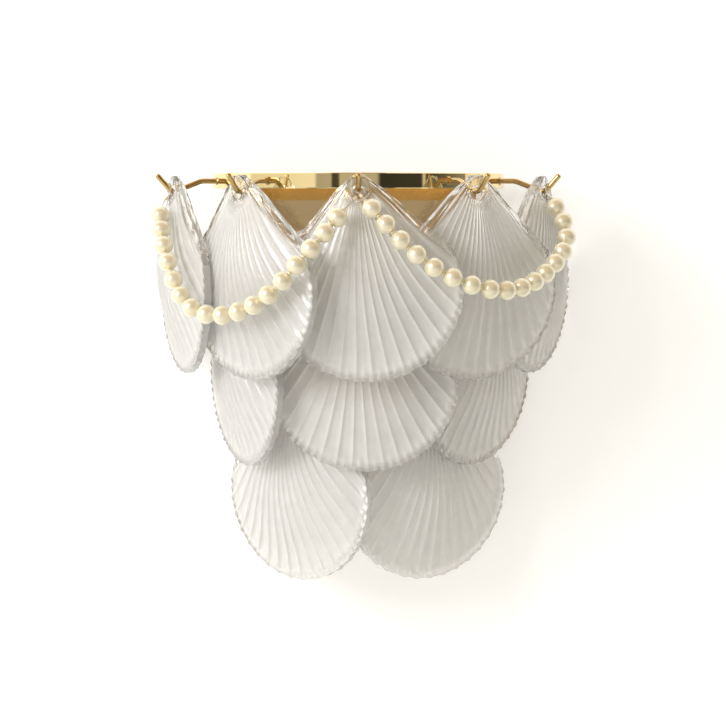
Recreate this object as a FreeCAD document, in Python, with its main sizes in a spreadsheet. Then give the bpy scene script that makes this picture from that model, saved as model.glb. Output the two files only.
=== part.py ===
import FreeCAD
import Part
import math
import os
import re

# Shell wall sconce: a gilt backplate carries three half-round bands, one above the other.
# V-shaped hooks stand out of the bands, a pressed-glass scallop hangs from each hook, and two
# strands of pearls are looped from hook to hook in front of the top row.
# Frame: origin at the middle of the wall bracket's back face, X to the viewer's right,
# Y into the wall, Z up. Millimetres and degrees.

SIZES = [
    # Wall bracket and backplate
    ("bracket_tall", 150), ("bracket_wide", 24), ("bracket_sheet", 2.5),
    ("wall_hole_spacing", 120), ("wall_hole_diameter", 5),
    ("stud_diameter", 4), ("stud_upper", 30), ("stud_lower", -40), ("stud_end", 4.4),
    ("plate_wide", 165), ("plate_over", 5), ("plate_under", 16.5), ("plate_depth", 22),
    ("plate_sheet", 1.2), ("plate_corner", 6), ("wall_gap", 0.5), ("hole_play", 0.3),
    ("washer_diameter", 9), ("washer_thick", 1), ("nut_across", 7), ("nut_thick", 3.2),
    # Rail and half-round bands
    ("rail_wide", 176), ("rail_tall", 19.6), ("rail_sheet", 2),
    ("top_band_height", 75.9), ("middle_drop", 67), ("lower_drop", 152.4),
    ("top_band_radius", 109), ("middle_band_radius", 71), ("lower_band_radius", 39),
    ("band_tall", 11), ("band_wall", 1.5), ("strap_wall", 2),
    ("top_screw_side", 60), ("middle_screw_side", 52), ("lower_screw_side", 22),
    ("screw_diameter", 3), ("screw_head_diameter", 5.6), ("screw_head_tall", 1.8),
    ("small_nut_across", 5.5), ("small_nut_thick", 2.4), ("spacer_diameter", 8),
    # Hooks
    ("rod_diameter", 4), ("rod_play", 0.05), ("hook_reach", 32), ("hook_shoulder", 11.8),
    ("hook_drop", 7.5), ("tip_reach", 13), ("tip_rise", 12), ("shoulder_bend", 14),
    ("hook_bend", 5), ("rod_root", 2.5),
    # Glass scallops
    ("glass_radius", 69), ("glass_drop", 132.4), ("flare_angle", 46.5), ("apex_rise", 15),
    ("glass_wall", 3.6), ("rim_setback", 6), ("bowl_depth", 14.5), ("rib_count", 16),
    ("rib_height", 1.2), ("rib_bow", 0.25), ("scallop_depth", 0.8), ("corner_cut", 0.1),
    ("dome_radius", 9), ("dome_top", 11.3), ("dome_wall", 4), ("glass_hole", 8),
    ("hole_chamfer", 1.2), ("hang_play", 0.75),
    # Pearl strands
    ("pearl_diameter", 13.5), ("pearl_pitch", 14.8), ("pearl_count", 17),
    ("strand_wire", 1.2), ("spacer_bead", 3.6), ("spacer_long", 1.2),
    ("ring_bore", 8.2), ("ring_wire", 1.2), ("ring_gap", 1.8), ("ring_step", 1.9),
    ("ring_play", 0.4),
    # Lamps
    ("lamp_side", 36), ("lamp_forward", 28), ("lamp_clearance", 10), ("shelf_sheet", 2),
    ("shelf_wide", 24), ("shelf_reach", 42), ("leg_tall", 30), ("leg_screw_rise", 22),
    ("holder_diameter", 27), ("holder_tall", 48), ("holder_bore", 15.2), ("holder_depth", 26),
    ("bulb_diameter", 45), ("bulb_long", 78), ("bulb_neck", 22), ("bulb_wall", 1),
    ("cap_diameter", 13.9), ("cap_long", 24), ("lead_diameter", 4), ("lead_rise", 11),
    ("bush_flange", 11), ("bush_lip", 1.2), ("block_wide", 32), ("block_deep", 10),
    ("block_tall", 18), ("block_height", -5), ("terminal_pitch", 10), ("terminal_bore", 4),
    ("earth_side", 30), ("earth_lead_diameter", 2),
]

doc = FreeCAD.newDocument("ShellSconce")
sheet = doc.addObject("Spreadsheet::Sheet", "Sizes")
for row, (alias, value) in enumerate(SIZES, start=1):
    sheet.set("A%d" % row, alias)
    sheet.set("B%d" % row, str(value))
    sheet.setAlias("B%d" % row, alias)
doc.recompute()

DERIVED = {
    "plate_top": "(top_band_height + plate_over)",
    "plate_foot": "(top_band_height - lower_drop - plate_under)",
    "shelf_height": "(top_band_height - lower_drop + band_tall / 2 + lamp_clearance)",
}
WORDS = re.compile(r"\b(" + "|".join(alias for alias, value in SIZES) + r")\b")
Vector = FreeCAD.Vector
X_AXIS = Vector(1, 0, 0)
Y_AXIS = Vector(0, 1, 0)
Z_AXIS = Vector(0, 0, 1)
pieces = []


def size(alias):
    return float(sheet.get(alias))


def bound(text):
    """An expression on the sheet, from one written with the bare size names."""
    text = str(text)
    for word, meaning in DERIVED.items():
        text = re.sub(r"\b%s\b" % word, meaning, text)
    return WORDS.sub(r"Sizes.\1", text)


def primitive(kind, name, at=(0, 0, 0), turn=None, **sizes):
    """A Part primitive whose sizes and position follow the sheet."""
    item = doc.addObject("Part::" + kind, name)
    if turn:
        item.Placement = FreeCAD.Placement(Vector(), FreeCAD.Rotation(*turn))
    for axis, text in zip("xyz", at):
        item.setExpression("Placement.Base." + axis, bound(text))
    for prop, text in sizes.items():
        item.setExpression(prop, bound(text))
    return item


def joined(name, items):
    item = doc.addObject("Part::MultiFuse", name)
    item.Shapes = items
    return item


def without(name, base, tools):
    item = doc.addObject("Part::Cut", name)
    item.Base = base
    item.Tool = tools[0] if len(tools) == 1 else joined(name + "_tools", tools)
    return item


def group(name, items):
    """Separate solids that share one node."""
    item = doc.addObject("Part::Compound", name)
    item.Links = items
    return item


def solid(name, shape, placement=None):
    item = doc.addObject("Part::Feature", name)
    item.Shape = shape
    if placement:
        item.Placement = placement
    return item


def keep(item, label):
    item.Label = label
    pieces.append(item)
    return item


FORWARD = (X_AXIS, 90)  # turns a primitive's +Z to -Y, away from the wall


def rod(name, x, y, z, radius, length):
    """A cylinder that runs from y towards the viewer."""
    return primitive("Cylinder", name, (x, y, z), FORWARD, Radius=radius, Height=length)


def hexagon(name, x, y, z, across, length):
    circumradius = "(%s) / 2 / cos(30)" % across
    return primitive("Prism", name, (x, y, z), FORWARD, Circumradius=circumradius,
                     Height=length)


# ---------------------------------------------------------------- wall bracket and backplate
bracket_bar = primitive("Box", "bracket_bar",
                        ("-bracket_wide / 2", "-bracket_sheet", "-bracket_tall / 2"),
                        Length="bracket_wide", Width="bracket_sheet", Height="bracket_tall")
bracket_holes = [rod("wall_hole_%d" % n, 0, "wall_gap", "%d * wall_hole_spacing / 2" % side,
                     "wall_hole_diameter / 2", "bracket_sheet + 2 * wall_gap")
                 for n, side in enumerate((1, -1))]
keep(without("wall_bracket_shape", bracket_bar, bracket_holes), "wall_bracket")

STUD_HEIGHTS = ("stud_upper", "stud_lower")
studs = [rod("stud_%d" % n, 0, "-bracket_sheet", height, "stud_diameter / 2",
             "plate_depth - bracket_sheet + washer_thick + stud_end")
         for n, height in enumerate(STUD_HEIGHTS)]
keep(group("mounting_studs_group", studs), "mounting_studs")

plate_block = primitive("Box", "plate_block",
                        ("-plate_wide / 2", "-plate_depth", "plate_foot"),
                        Length="plate_wide", Width="plate_depth - wall_gap",
                        Height="plate_top - plate_foot")
plate_hollow = primitive("Box", "plate_hollow",
                         ("plate_sheet - plate_wide / 2", "plate_sheet - plate_depth",
                          "plate_foot + plate_sheet"),
                         Length="plate_wide - 2 * plate_sheet", Width="plate_depth",
                         Height="plate_top - plate_foot - 2 * plate_sheet")
plate_form = doc.addObject("Part::Fillet", "plate_form")
hollow_form = doc.addObject("Part::Fillet", "hollow_form")
doc.recompute()


def corner_edges(box, radius):
    """The four edges of a box that run along Y, for a fillet of this radius."""
    found = []
    for number, edge in enumerate(box.Shape.Edges, start=1):
        start, end = edge.Vertexes[0].Point, edge.Vertexes[-1].Point
        if abs(start.x - end.x) < 0.001 and abs(start.z - end.z) < 0.001:
            found.append((number, radius, radius))
    return found


plate_form.Base = plate_block
plate_form.Edges = corner_edges(plate_block, size("plate_corner"))
hollow_form.Base = plate_hollow
hollow_form.Edges = corner_edges(plate_hollow, size("plate_corner") - size("plate_sheet"))

BANDS = (("top", "top_band_height", "top_band_radius", "top_screw_side"),
         ("middle", "top_band_height - middle_drop", "middle_band_radius",
          "middle_screw_side"),
         ("lower", "top_band_height - lower_drop", "lower_band_radius", "lower_screw_side"))
SIDES = (("left", -1), ("right", 1))
RING_PLANE = "-plate_depth - rail_sheet"
screw_spots = [(name + "_" + side_name, "%d * %s" % (side, screw_side), height)
               for name, height, radius, screw_side in BANDS
               for side_name, side in SIDES]
leg_spots = [("leg_" + side_name, "%d * lamp_side" % side, "shelf_height + leg_screw_rise")
             for side_name, side in SIDES]

plate_tools = [hollow_form]
for n, height in enumerate(STUD_HEIGHTS):
    plate_tools.append(rod("plate_stud_hole_%d" % n, 0, 0, height,
                           "stud_diameter / 2 + hole_play", "2 * plate_depth"))
for name, x, height in screw_spots + leg_spots:
    plate_tools.append(rod("plate_hole_" + name, x, 0, height,
                           "screw_diameter / 2 + hole_play", "2 * plate_depth"))
for side_name, side in SIDES:
    plate_tools.append(rod("plate_lead_hole_" + side_name, "%d * lamp_side" % side, 0,
                           "shelf_height + lead_rise", "bush_flange / 2 - bush_lip",
                           "2 * plate_depth"))
keep(without("backplate_shape", plate_form, plate_tools), "backplate")

washers, cap_nuts = [], []
for n, height in enumerate(STUD_HEIGHTS):
    disc = rod("washer_disc_%d" % n, 0, "-plate_depth", height, "washer_diameter / 2",
               "washer_thick")
    bore = rod("washer_bore_%d" % n, 0, 0, height, "stud_diameter / 2 + hole_play",
               "2 * plate_depth")
    washers.append(without("washer_%d" % n, disc, [bore]))
    body = hexagon("cap_nut_hex_%d" % n, 0, "-plate_depth - washer_thick", height,
                   "nut_across", "nut_thick")
    dome = primitive("Sphere", "cap_nut_dome_%d" % n,
                     (0, "-plate_depth - washer_thick - nut_thick", height),
                     Radius="nut_across / 2 - hole_play")
    bore = rod("cap_nut_bore_%d" % n, 0, "-plate_depth", height,
               "stud_diameter / 2 + rod_play", "washer_thick + stud_end + hole_play")
    cap_nuts.append(without("cap_nut_%d" % n, joined("cap_nut_form_%d" % n, [body, dome]),
                            [bore]))
keep(group("nut_washers_group", washers), "nut_washers")
keep(group("cap_nuts_group", cap_nuts), "cap_nuts")

# ---------------------------------------------------------------- rail, bands and screws
rail_bar = primitive("Box", "rail_bar",
                     ("-rail_wide / 2", RING_PLANE,
                      "top_band_height + band_tall / 2 - rail_tall"),
                     Length="rail_wide", Width="rail_sheet", Height="rail_tall")
rail_holes = [rod("rail_hole_" + name, x, 0, height, "screw_diameter / 2 + hole_play",
                  "2 * plate_depth")
              for name, x, height in screw_spots if name.startswith("top")]
keep(without("top_rail_shape", rail_bar, rail_holes), "top_rail")


def fan(count, step):
    """Hook azimuths, in degrees from straight ahead, left to right."""
    return [step * (n - (count - 1) / 2) for n in range(count)]


HOOKS = {"top": fan(5, 36), "middle": fan(3, 60), "lower": fan(2, 90)}


def add_band(name, height, radius, screw_side):
    """A half ring closed by a straight strap at the back, drilled for hooks and screws."""
    low = "%s - band_tall / 2" % height
    half_ring = dict(at=(0, RING_PLANE, low), turn=(Z_AXIS, 180), Angle=180,
                     Height="band_tall")
    outside = primitive("Cylinder", name + "_ring_outside", Radius=radius, **half_ring)
    inside = primitive("Cylinder", name + "_ring_inside", Radius=radius + " - band_wall",
                       **half_ring)
    ring = without(name + "_ring", outside, [inside])
    strap = primitive("Box", name + "_strap",
                      ("-(%s - band_wall / 2)" % radius, RING_PLANE + " - strap_wall", low),
                      Length="2 * (%s - band_wall / 2)" % radius, Width="strap_wall",
                      Height="band_tall")
    holes = [rod(name + "_strap_hole_" + side_name, "%d * %s" % (side, screw_side), 0, height,
                 "screw_diameter / 2 + hole_play", "plate_depth + rail_sheet + 2 * strap_wall")
             for side_name, side in SIDES]
    for n, azimuth in enumerate(HOOKS[name], start=1):
        holes.append(primitive("Cylinder", "%s_rod_hole_%d" % (name, n),
                               (0, RING_PLANE, height), hook_turn(azimuth),
                               Radius="rod_diameter / 2 + rod_play",
                               Height=radius + " + band_wall"))
    return keep(without(name + "_band_shape", joined(name + "_band_form", [ring, strap]),
                        holes), name + "_band")


def hook_turn(azimuth):
    """Turns a cylinder's +Z to the hook's direction."""
    across = Vector(math.cos(math.radians(azimuth)), math.sin(math.radians(azimuth)), 0)
    return across, 90


for band in BANDS:
    add_band(*band)

spacers, screws, nuts = [], [], []
for name, x, height in screw_spots + leg_spots:
    on_leg = name.startswith("leg")
    seat = "plate_depth + %s" % ("shelf_sheet" if on_leg else "rail_sheet + strap_wall")
    if name.startswith(("middle", "lower")):
        disc = rod("spacer_disc_" + name, x, "-plate_depth", height, "spacer_diameter / 2",
                   "rail_sheet")
        bore = rod("spacer_bore_" + name, x, 0, height, "screw_diameter / 2 + hole_play",
                   "2 * plate_depth")
        spacers.append(without("spacer_" + name, disc, [bore]))
    shank = rod("screw_shank_" + name, x, "plate_sheet + 2 * small_nut_thick - plate_depth",
                height, "screw_diameter / 2",
                seat + " - plate_depth + plate_sheet + 2 * small_nut_thick")
    head = rod("screw_head_" + name, x, "-(%s)" % seat, height, "screw_head_diameter / 2",
               "screw_head_tall")
    screws.append(joined("screw_" + name, [shank, head]))
    outer = hexagon("nut_hex_" + name, x,
                    "plate_sheet + small_nut_thick - plate_depth", height,
                    "small_nut_across", "small_nut_thick")
    bore = rod("nut_bore_" + name, x, 0, height, "screw_diameter / 2 + rod_play",
               "plate_depth")
    nuts.append(without("nut_" + name, outer, [bore]))
keep(group("band_spacers_group", spacers), "band_spacers")
keep(group("frame_screws_group", screws), "frame_screws")
keep(group("frame_nuts_group", nuts), "frame_nuts")


# ---------------------------------------------------------------- bent rods, wires and leads
def bent_path(points, radii):
    """Straight runs through the points, joined by tangent arcs of the given radii."""
    edges, here = [], points[0]
    for before, corner, after, radius in zip(points, points[1:], points[2:], radii):
        back = (before - corner).normalize()
        on = (after - corner).normalize()
        half = (math.pi - back.getAngle(on)) / 2
        setback = radius * math.tan(half)
        start = corner + back * setback
        end = corner + on * setback
        middle = (back + on).normalize()
        crown = corner + middle * (radius / math.cos(half) - radius)
        edges.append(Part.LineSegment(here, start).toShape())
        edges.append(Part.Arc(start, crown, end).toShape())
        here = end
    edges.append(Part.LineSegment(here, points[-1]).toShape())
    return Part.Wire(edges)


def tube(path, diameter):
    """A round bar along a bent path, with its volume checked against its length."""
    edge = path.Edges[0]
    section = Part.Wire(Part.makeCircle(diameter / 2, edge.valueAt(edge.FirstParameter),
                                        edge.tangentAt(edge.FirstParameter)))
    made = path.makePipeShell([section], True, False)
    expected = math.pi * diameter ** 2 / 4 * path.Length
    if abs(made.Volume / expected - 1) > 0.01:
        raise ValueError("a bent bar has the wrong volume")
    return made


RING_Y = -(size("plate_depth") + size("rail_sheet"))
BAND_PLACES = {
    "top": (size("top_band_radius"), size("top_band_height")),
    "middle": (size("middle_band_radius"), size("top_band_height") - size("middle_drop")),
    "lower": (size("lower_band_radius"), size("top_band_height") - size("lower_drop")),
}


def outward(azimuth, radius, height):
    """A point at this radius from the bands' axis."""
    angle = math.radians(azimuth)
    return Vector(radius * math.sin(angle), RING_Y - radius * math.cos(angle), height)


def add_hook(tier, number, azimuth):
    """A rod that runs level out of the band, dips to a V and rises to a cut end."""
    radius, height = BAND_PLACES[tier]
    reach = radius + size("hook_reach")
    valley = height - size("hook_drop")
    forward, below, slope = valley_corner()
    profile = [(radius - size("rod_root"), height), (radius + size("hook_shoulder"), height),
               (reach + forward, valley - below),
               (reach + size("tip_reach"), valley + size("tip_rise"))]
    points = [outward(azimuth, r, z) for r, z in profile]
    path = bent_path(points, [size("shoulder_bend"), size("hook_bend")])
    keep(solid("%s_hook_%d" % (tier, number), tube(path, size("rod_diameter"))),
         "%s_hook_%d" % (tier, number))


def valley_corner():
    """Where the V's corner lies from the lowest point of its bend, and its outer slope.

    The corner is moved until the bend's lowest point is straight above the glass's hole.
    """
    forward = below = 0
    for turn in range(30):
        run_in = math.atan2(size("hook_drop") + below,
                            size("hook_reach") - size("hook_shoulder") + forward)
        run_out = math.atan2(size("tip_rise") + below, size("tip_reach") - forward)
        reach = size("hook_bend") / math.cos((run_in + run_out) / 2)
        tilt = (run_out - run_in) / 2
        forward = reach * math.sin(tilt)
        below = reach * math.cos(tilt) - size("hook_bend")
    return forward, below, run_out


for tier, azimuths in HOOKS.items():
    for number, azimuth in enumerate(azimuths, start=1):
        add_hook(tier, number, azimuth)

# ---------------------------------------------------------------- pressed-glass scallops
GROWTH_LINES = (0.13, 0.4, 0.7, 1.0)  # shares of the way from the apex to the rim
RIM_CURVE = 0.6
CROWN_CURVE = 1.5
CORNER_POWER = 10


def glass_point(share, step, ridge, side):
    """A point on the outer (side 1) or inner (side -1) surface of the scallop.

    share runs from the apex to the rim and step from -1 to 1 across the fan of ribs.
    """
    flare = math.radians(size("flare_angle"))
    angle = flare * (step + size("rib_bow") * (step ** 3 - step) * (1 - share))
    centre = size("glass_drop") - size("glass_radius") + size("apex_rise")
    chord = math.sqrt(size("glass_radius") ** 2 - (centre * math.sin(angle)) ** 2)
    reach = centre * math.cos(angle) + chord
    reach *= 1 - size("corner_cut") * abs(angle / flare) ** CORNER_POWER
    reach += size("scallop_depth") * ridge
    crown = size("bowl_depth") * math.sin(math.pi * share) ** CROWN_CURVE * (1 - step ** 2)
    stand = crown - size("rim_setback") * share ** RIM_CURVE
    if side > 0:
        stand += size("glass_wall") / 2 + size("rib_height") * ridge
    else:
        stand -= size("glass_wall") / 2
    return Vector(share * reach * math.sin(angle), -stand,
                  size("apex_rise") - share * reach * math.cos(angle))


def facet(*corners):
    return Part.Face(Part.makePolygon(list(corners) + [corners[0]]))


def scallop():
    """One pressed-glass scallop, hung at the origin, with its face towards -Y."""
    count = 2 * int(size("rib_count"))
    steps = [2 * n / count - 1 for n in range(count + 1)]
    outer = [[glass_point(share, step, n % 2, 1) for n, step in enumerate(steps)]
             for share in GROWTH_LINES]
    inner = [[glass_point(share, step, n % 2, -1) for n, step in enumerate(steps)]
             for share in GROWTH_LINES]
    faces = []
    for skin in (outer, inner):
        for near, far in zip(skin, skin[1:]):
            for n in range(count):
                if n % 2:
                    faces.append(facet(near[n], near[n + 1], far[n]))
                    faces.append(facet(near[n + 1], far[n + 1], far[n]))
                else:
                    faces.append(facet(near[n], near[n + 1], far[n + 1]))
                    faces.append(facet(near[n], far[n + 1], far[n]))
    for row in (0, -1):
        for n in range(count):
            faces.append(facet(outer[row][n], outer[row][n + 1], inner[row][n + 1],
                               inner[row][n]))
    for end in (0, -1):
        for n in range(len(GROWTH_LINES) - 1):
            faces.append(facet(outer[n][end], outer[n + 1][end], inner[n + 1][end],
                               inner[n][end]))
    bowl = Part.Solid(Part.Shell(faces))
    if bowl.Volume < 0:
        bowl.reverse()
    wall = size("dome_wall")
    dome_height = size("dome_top") - size("dome_radius")
    dome = Part.makeCylinder(size("dome_radius"), wall, Vector(0, -wall / 2, dome_height),
                             Y_AXIS)
    bore = size("glass_hole") / 2
    bore_height = size("rod_diameter") / 2 + size("hang_play") - bore
    cutters = [Part.makeCylinder(bore, 4 * wall, Vector(0, -2 * wall, bore_height), Y_AXIS)]
    chamfer = size("hole_chamfer")
    for side in (1, -1):
        mouth = Vector(0, side * wall / 2, bore_height)
        cutters.append(Part.makeCone(bore + chamfer, bore, chamfer, mouth, Y_AXIS * -side))
    made = bowl.fuse(dome).cut(cutters)
    if len(made.Solids) != 1:
        raise ValueError("the glass is not one piece")
    return made.Solids[0]


# Each glass: the way its face points (degrees, left negative), how far its foot swings right
GLASSES = {
    "top": ((-72, 2), (-48, 4), (-9, 4.2), (28, 1), (64, 0)),
    "middle": ((-66, 2), (-5, 3), (51, 0)),
    "lower": ((-41, 3), (30, 3)),
}
glass = scallop()
centre = glass.CenterOfMass
lean = math.degrees(math.atan2(-centre.y, -centre.z))  # brings its weight under the hook
for tier, stances in GLASSES.items():
    radius, height = BAND_PLACES[tier]
    for number, (facing, roll) in enumerate(stances, start=1):
        at = outward(HOOKS[tier][number - 1], radius + size("hook_reach"),
                     height - size("hook_drop"))
        turn = (FreeCAD.Rotation(Z_AXIS, facing) * FreeCAD.Rotation(Y_AXIS, -roll)
                * FreeCAD.Rotation(X_AXIS, lean))
        keep(solid("%s_glass_%d" % (tier, number), glass, FreeCAD.Placement(at, turn)),
             "%s_glass_%d" % (tier, number))

# ---------------------------------------------------------------- pearl strands
# The line that each strand hangs in, from its left ring to its right ring, chosen by hand:
# the way round from straight ahead, the distance out of the top band and the drop below it
LEFT_ROUTE = [(-69.4, 42.7, 15.4), (-65.9, 47.7, 24.9), (-60.5, 52.4, 38.9), (-55.9, 55.2, 55.9),
              (-51.7, 55.5, 73.9), (-46.3, 56.9, 87.9), (-39.1, 55.9, 94.4), (-30.8, 56.9, 91.9),
              (-23.2, 61.2, 83.4), (-17.2, 64.8, 68.9), (-12.7, 65.8, 53.4), (-8.8, 60, 39.4),
              (-5.2, 50.7, 25.9), (-2.3, 43.6, 15.9)]
RIGHT_ROUTE = [(2, 45.1, 14.9), (5, 51.6, 24.9), (9.7, 56.9, 40.4), (15.5, 61.2, 55.9),
               (22.3, 65, 67.7), (29.5, 66.8, 74.4), (37, 65.6, 76.4), (44.6, 63.9, 71.9),
               (52.7, 62.6, 61.4), (59.8, 61.7, 48.4), (64, 57.8, 34.9), (66.3, 49.3, 23.4),
               (68.8, 41.7, 14.4)]
BEAD_CUT = 66  # latitude, in degrees, of a bead's flat ends
STRANDS = (("left", LEFT_ROUTE, (1, 1), (3, 1)), ("right", RIGHT_ROUTE, (3, 2), (5, 1)))


def ring_centre(hook, place):
    """A ring hangs on the rising end of its hook, place steps out from the glass."""
    lean_out = valley_corner()[2]
    slope = math.tan(lean_out)
    out = size("dome_wall") / 2 + size("ring_gap") + size("ring_step") * (place - 1)
    bend_end = size("hook_bend") * math.sin(lean_out)
    bend_rise = size("hook_bend") * (1 - math.cos(lean_out))
    rod_height = bend_rise + (out - bend_end) * slope
    top = rod_height + size("rod_diameter") / 2 / math.cos(lean_out)
    drop = size("ring_bore") / 2 - slope * size("ring_wire") / 2 - size("ring_play")
    radius, height = BAND_PLACES["top"]
    return outward(HOOKS["top"][hook - 1], radius + size("hook_reach") + out,
                   height - size("hook_drop") + top - drop)


def add_ring(name, hook, centre):
    bore = size("ring_bore") / 2
    wire = size("ring_wire")
    axis = outward(HOOKS["top"][hook - 1], 1, 0) - outward(0, 0, 0)
    start = centre - axis * (wire / 2)
    outside = Part.makeCylinder(bore + wire, wire, start, axis)
    return outside.cut(Part.makeCylinder(bore, wire, start, axis))


def turned(profile, sides):
    """A closed solid of flat facets round Z, from (radius, height) points, bottom to top."""
    rings = [[Vector(radius * math.cos(2 * math.pi * k / sides),
                     radius * math.sin(2 * math.pi * k / sides), height)
              for k in range(sides)] for radius, height in profile]
    faces = [facet(*rings[0]), facet(*rings[-1])]
    for low, high in zip(rings, rings[1:]):
        for k in range(sides):
            faces.append(facet(low[k - 1], low[k], high[k], high[k - 1]))
    made = Part.Solid(Part.Shell(faces))
    if made.Volume < 0:
        made.reverse()
    return made


def bead(diameter, length, sides, belts):
    """A faceted bead along Z: flat belts round an ellipsoid."""
    profile = []
    for n in range(belts + 1):
        latitude = math.asin((2 * n / belts - 1) * math.sin(math.radians(BEAD_CUT)))
        profile.append((diameter / 2 * math.cos(latitude), length / 2 * (2 * n / belts - 1)))
    return turned(profile, sides)


def threaded(path, shape, distances):
    """Copies of a bead along a path, each turned to the path's direction."""
    step_count = 2000
    points = path.discretize(Number=step_count + 1)
    copies = []
    for distance in distances:
        n = min(max(round(distance / path.Length * step_count), 1), step_count - 1)
        along = points[n + 1] - points[n - 1]
        copy = shape.copy()
        copy.Placement = FreeCAD.Placement(points[n], FreeCAD.Rotation(Z_AXIS, along))
        copies.append(copy)
    return Part.makeCompound(copies)


def strand_path(start, route, end):
    radius, height = BAND_PLACES["top"]
    points = [outward(azimuth, radius + out, height - drop) for azimuth, out, drop in route]
    points = [start] + points + [end]
    radii = []
    for before, corner, after in zip(points, points[1:], points[2:]):
        run = min((corner - before).Length, (after - corner).Length)
        turn = (corner - before).getAngle(after - corner)
        radii.append(0.45 * run / math.tan(turn / 2))
    print("strand bend radii, mm:", " ".join("%.0f" % radius for radius in radii))
    return bent_path(points, radii)


pearl = bead(size("pearl_diameter"), size("pearl_diameter") * 0.96, 10, 3)
small_bead = bead(size("spacer_bead"), size("spacer_long"), 8, 1)
for name, route, (first, first_place), (last, last_place) in STRANDS:
    centres = [ring_centre(first, first_place), ring_centre(last, last_place)]
    hang = Vector(0, 0, -(size("ring_bore") + size("ring_wire")) / 2)
    path = strand_path(centres[0] + hang, route, centres[1] + hang)
    count = int(size("pearl_count"))
    margin = (path.Length - (count - 1) * size("pearl_pitch")) / 2
    print(name, "strand length %.1f mm, bare at each end %.1f mm" % (path.Length, margin))
    places = [margin + size("pearl_pitch") * n for n in range(count)]
    between = [place - size("pearl_pitch") / 2 for place in places] + [
        places[-1] + size("pearl_pitch") / 2]
    keep(solid(name + "_strand_wire", tube(path, size("strand_wire"))),
         name + "_strand_wire")
    keep(solid(name + "_pearls", threaded(path, pearl, places)), name + "_pearls")
    keep(solid(name + "_spacer_beads", threaded(path, small_bead, between)),
         name + "_spacer_beads")
    rings = [add_ring(name, hook, at) for hook, at in zip((first, last), centres)]
    keep(solid(name + "_end_rings", Part.makeCompound(rings)), name + "_end_rings")
    print(name, "ring centres, mm:", [tuple(round(v, 2) for v in at) for at in centres])

# ---------------------------------------------------------------- lampholders, lamps, wiring
LAMP_Y = RING_PLANE + " + rail_sheet - lamp_forward"
SHELF_HEIGHT = (BAND_PLACES["lower"][1] + size("band_tall") / 2 + size("lamp_clearance"))


def add_lamp(side_name, side):
    """One bracket with its lampholder, bulb, lead and the bush the lead comes through."""
    x = "%d * lamp_side" % side
    shelf = primitive("Box", side_name + "_shelf",
                      (x + " - shelf_wide / 2", "-plate_depth - shelf_reach",
                       "shelf_height - shelf_sheet"),
                      Length="shelf_wide", Width="shelf_reach", Height="shelf_sheet")
    leg = primitive("Box", side_name + "_leg",
                    (x + " - shelf_wide / 2", "-plate_depth - shelf_sheet",
                     "shelf_height - shelf_sheet"),
                    Length="shelf_wide", Width="shelf_sheet", Height="leg_tall")
    holes = [rod(side_name + "_leg_screw_hole", x, 0, "shelf_height + leg_screw_rise",
                 "screw_diameter / 2 + hole_play", "2 * plate_depth"),
             rod(side_name + "_leg_lead_hole", x, 0, "shelf_height + lead_rise",
                 "bush_flange / 2 - bush_lip", "2 * plate_depth")]
    keep(without(side_name + "_lamp_bracket_shape",
                 joined(side_name + "_bracket_form", [shelf, leg]), holes),
         side_name + "_lamp_bracket")
    barrel = primitive("Cylinder", side_name + "_holder_barrel", (x, LAMP_Y, "shelf_height"),
                       Radius="holder_diameter / 2 - bush_lip", Height="holder_tall")
    skirt = primitive("Cylinder", side_name + "_holder_skirt",
                      (x, LAMP_Y, "shelf_height + holder_tall - holder_depth / 2"),
                      Radius="holder_diameter / 2", Height="holder_depth / 2")
    foot = primitive("Cylinder", side_name + "_holder_foot", (x, LAMP_Y, "shelf_height"),
                     Radius="holder_diameter / 2", Height="shelf_sheet")
    mouth = primitive("Cylinder", side_name + "_holder_mouth",
                      (x, LAMP_Y, "shelf_height + holder_tall - holder_depth"),
                      Radius="holder_bore / 2", Height="holder_depth + hole_play")
    keep(without(side_name + "_lampholder_shape",
                 joined(side_name + "_holder_form", [barrel, skirt, foot]), [mouth]),
         side_name + "_lampholder")


def bulb_glass():
    """A round bulb's hollow envelope, in flat facets, with the cap's foot at the origin."""
    radius = size("bulb_diameter") / 2
    middle = size("bulb_long") - radius
    skins = []
    for wall in (0, size("bulb_wall")):
        ball = radius - wall
        throat = size("bulb_neck") / 2 - wall
        low = math.acos(throat / ball)
        latitudes = [low * (n / 4 - 1) for n in range(4)] + [0, 0.35, 0.7, 1.05, 1.35]
        profile = [(size("cap_diameter") / 2 - wall, size("cap_long") + wall)]
        profile += [(ball * math.cos(angle), middle + ball * math.sin(angle))
                    for angle in latitudes]
        skins.append(turned(profile, BULB_SIDES))
    return skins[0].cut(skins[1])


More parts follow.
